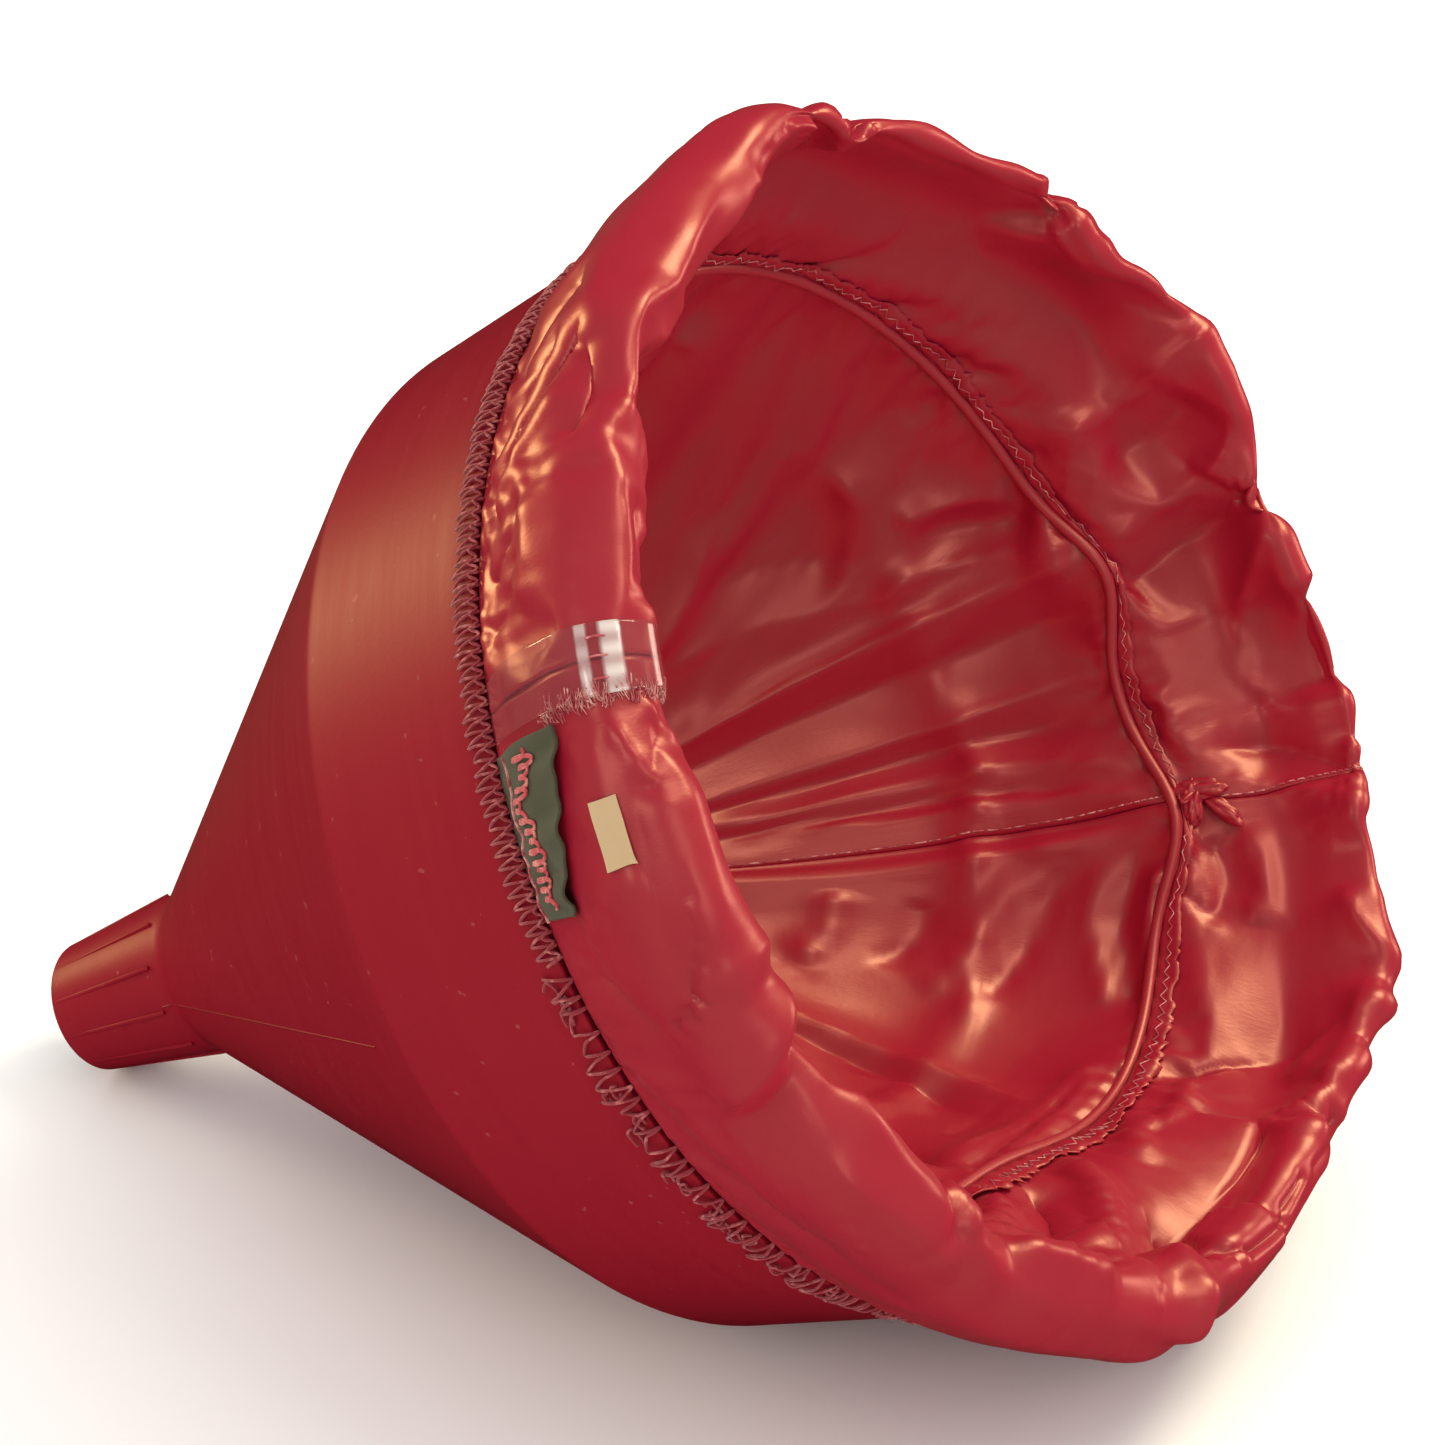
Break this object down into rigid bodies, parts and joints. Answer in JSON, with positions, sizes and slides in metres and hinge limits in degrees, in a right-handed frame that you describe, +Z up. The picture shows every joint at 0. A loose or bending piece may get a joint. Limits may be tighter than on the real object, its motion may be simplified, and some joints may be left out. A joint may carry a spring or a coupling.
{
  "type": "satin-lined funnel hat",
  "caption": "Hat made of a moulded plastic funnel with a fluted spout, lined with satin that is overcast to the rim, rolls over it as a soft brim and is piped inside.",
  "frame": {"origin": "centre of the bounding box's base, on the surface that the hat lies on", "axes": "+Z up; +X level, from the spout towards the mouth; the spout's end, the ring under the skirt and the sagging brim rest on z = 0"},
  "size_m": [0.2472, 0.2297, 0.2158],
  "materials": {
    "moulded_plastic": "soft-sheen moulded polypropylene, crimson",
    "satin": "glossy polyester satin, crimson",
    "piping_satin": "satin cut on the bias over a cord",
    "cotton_cord": "twisted cotton, hidden",
    "red_thread": "polyester sewing thread",
    "overcast_thread": "heavy polyester thread with pale highlights",
    "olive_weave": "woven label, olive green",
    "embroidery_thread": "embroidery thread, red",
    "tag_tape": "plain woven tape, beige",
    "clear_plastic": "clear flexible vinyl"
  },
  "bodies": {
    "root": {"funnel_shell": "moulded_plastic", "crown_panel_top": "satin", "crown_panel_bottom": "satin", "side_band_top": "satin", "side_band_bottom": "satin", "piping_cover": "piping_satin", "piping_core": "cotton_cord", "piping_allowance": "piping_satin", "piping_stitches": "red_thread", "crown_seam_stitches": "red_thread", "band_seam_stitches": "red_thread", "seam_knot": "satin", "rim_stitches": "overcast_thread", "rim_hand_stitches": "overcast_thread", "label_patch": "olive_weave", "label_embroidery": "embroidery_thread", "label_stitches": "embroidery_thread", "care_tag": "tag_tape", "clear_strip": "clear_plastic", "strip_stitches": "red_thread", "band_end_fringe": "satin"}
  },
  "joints": []
}
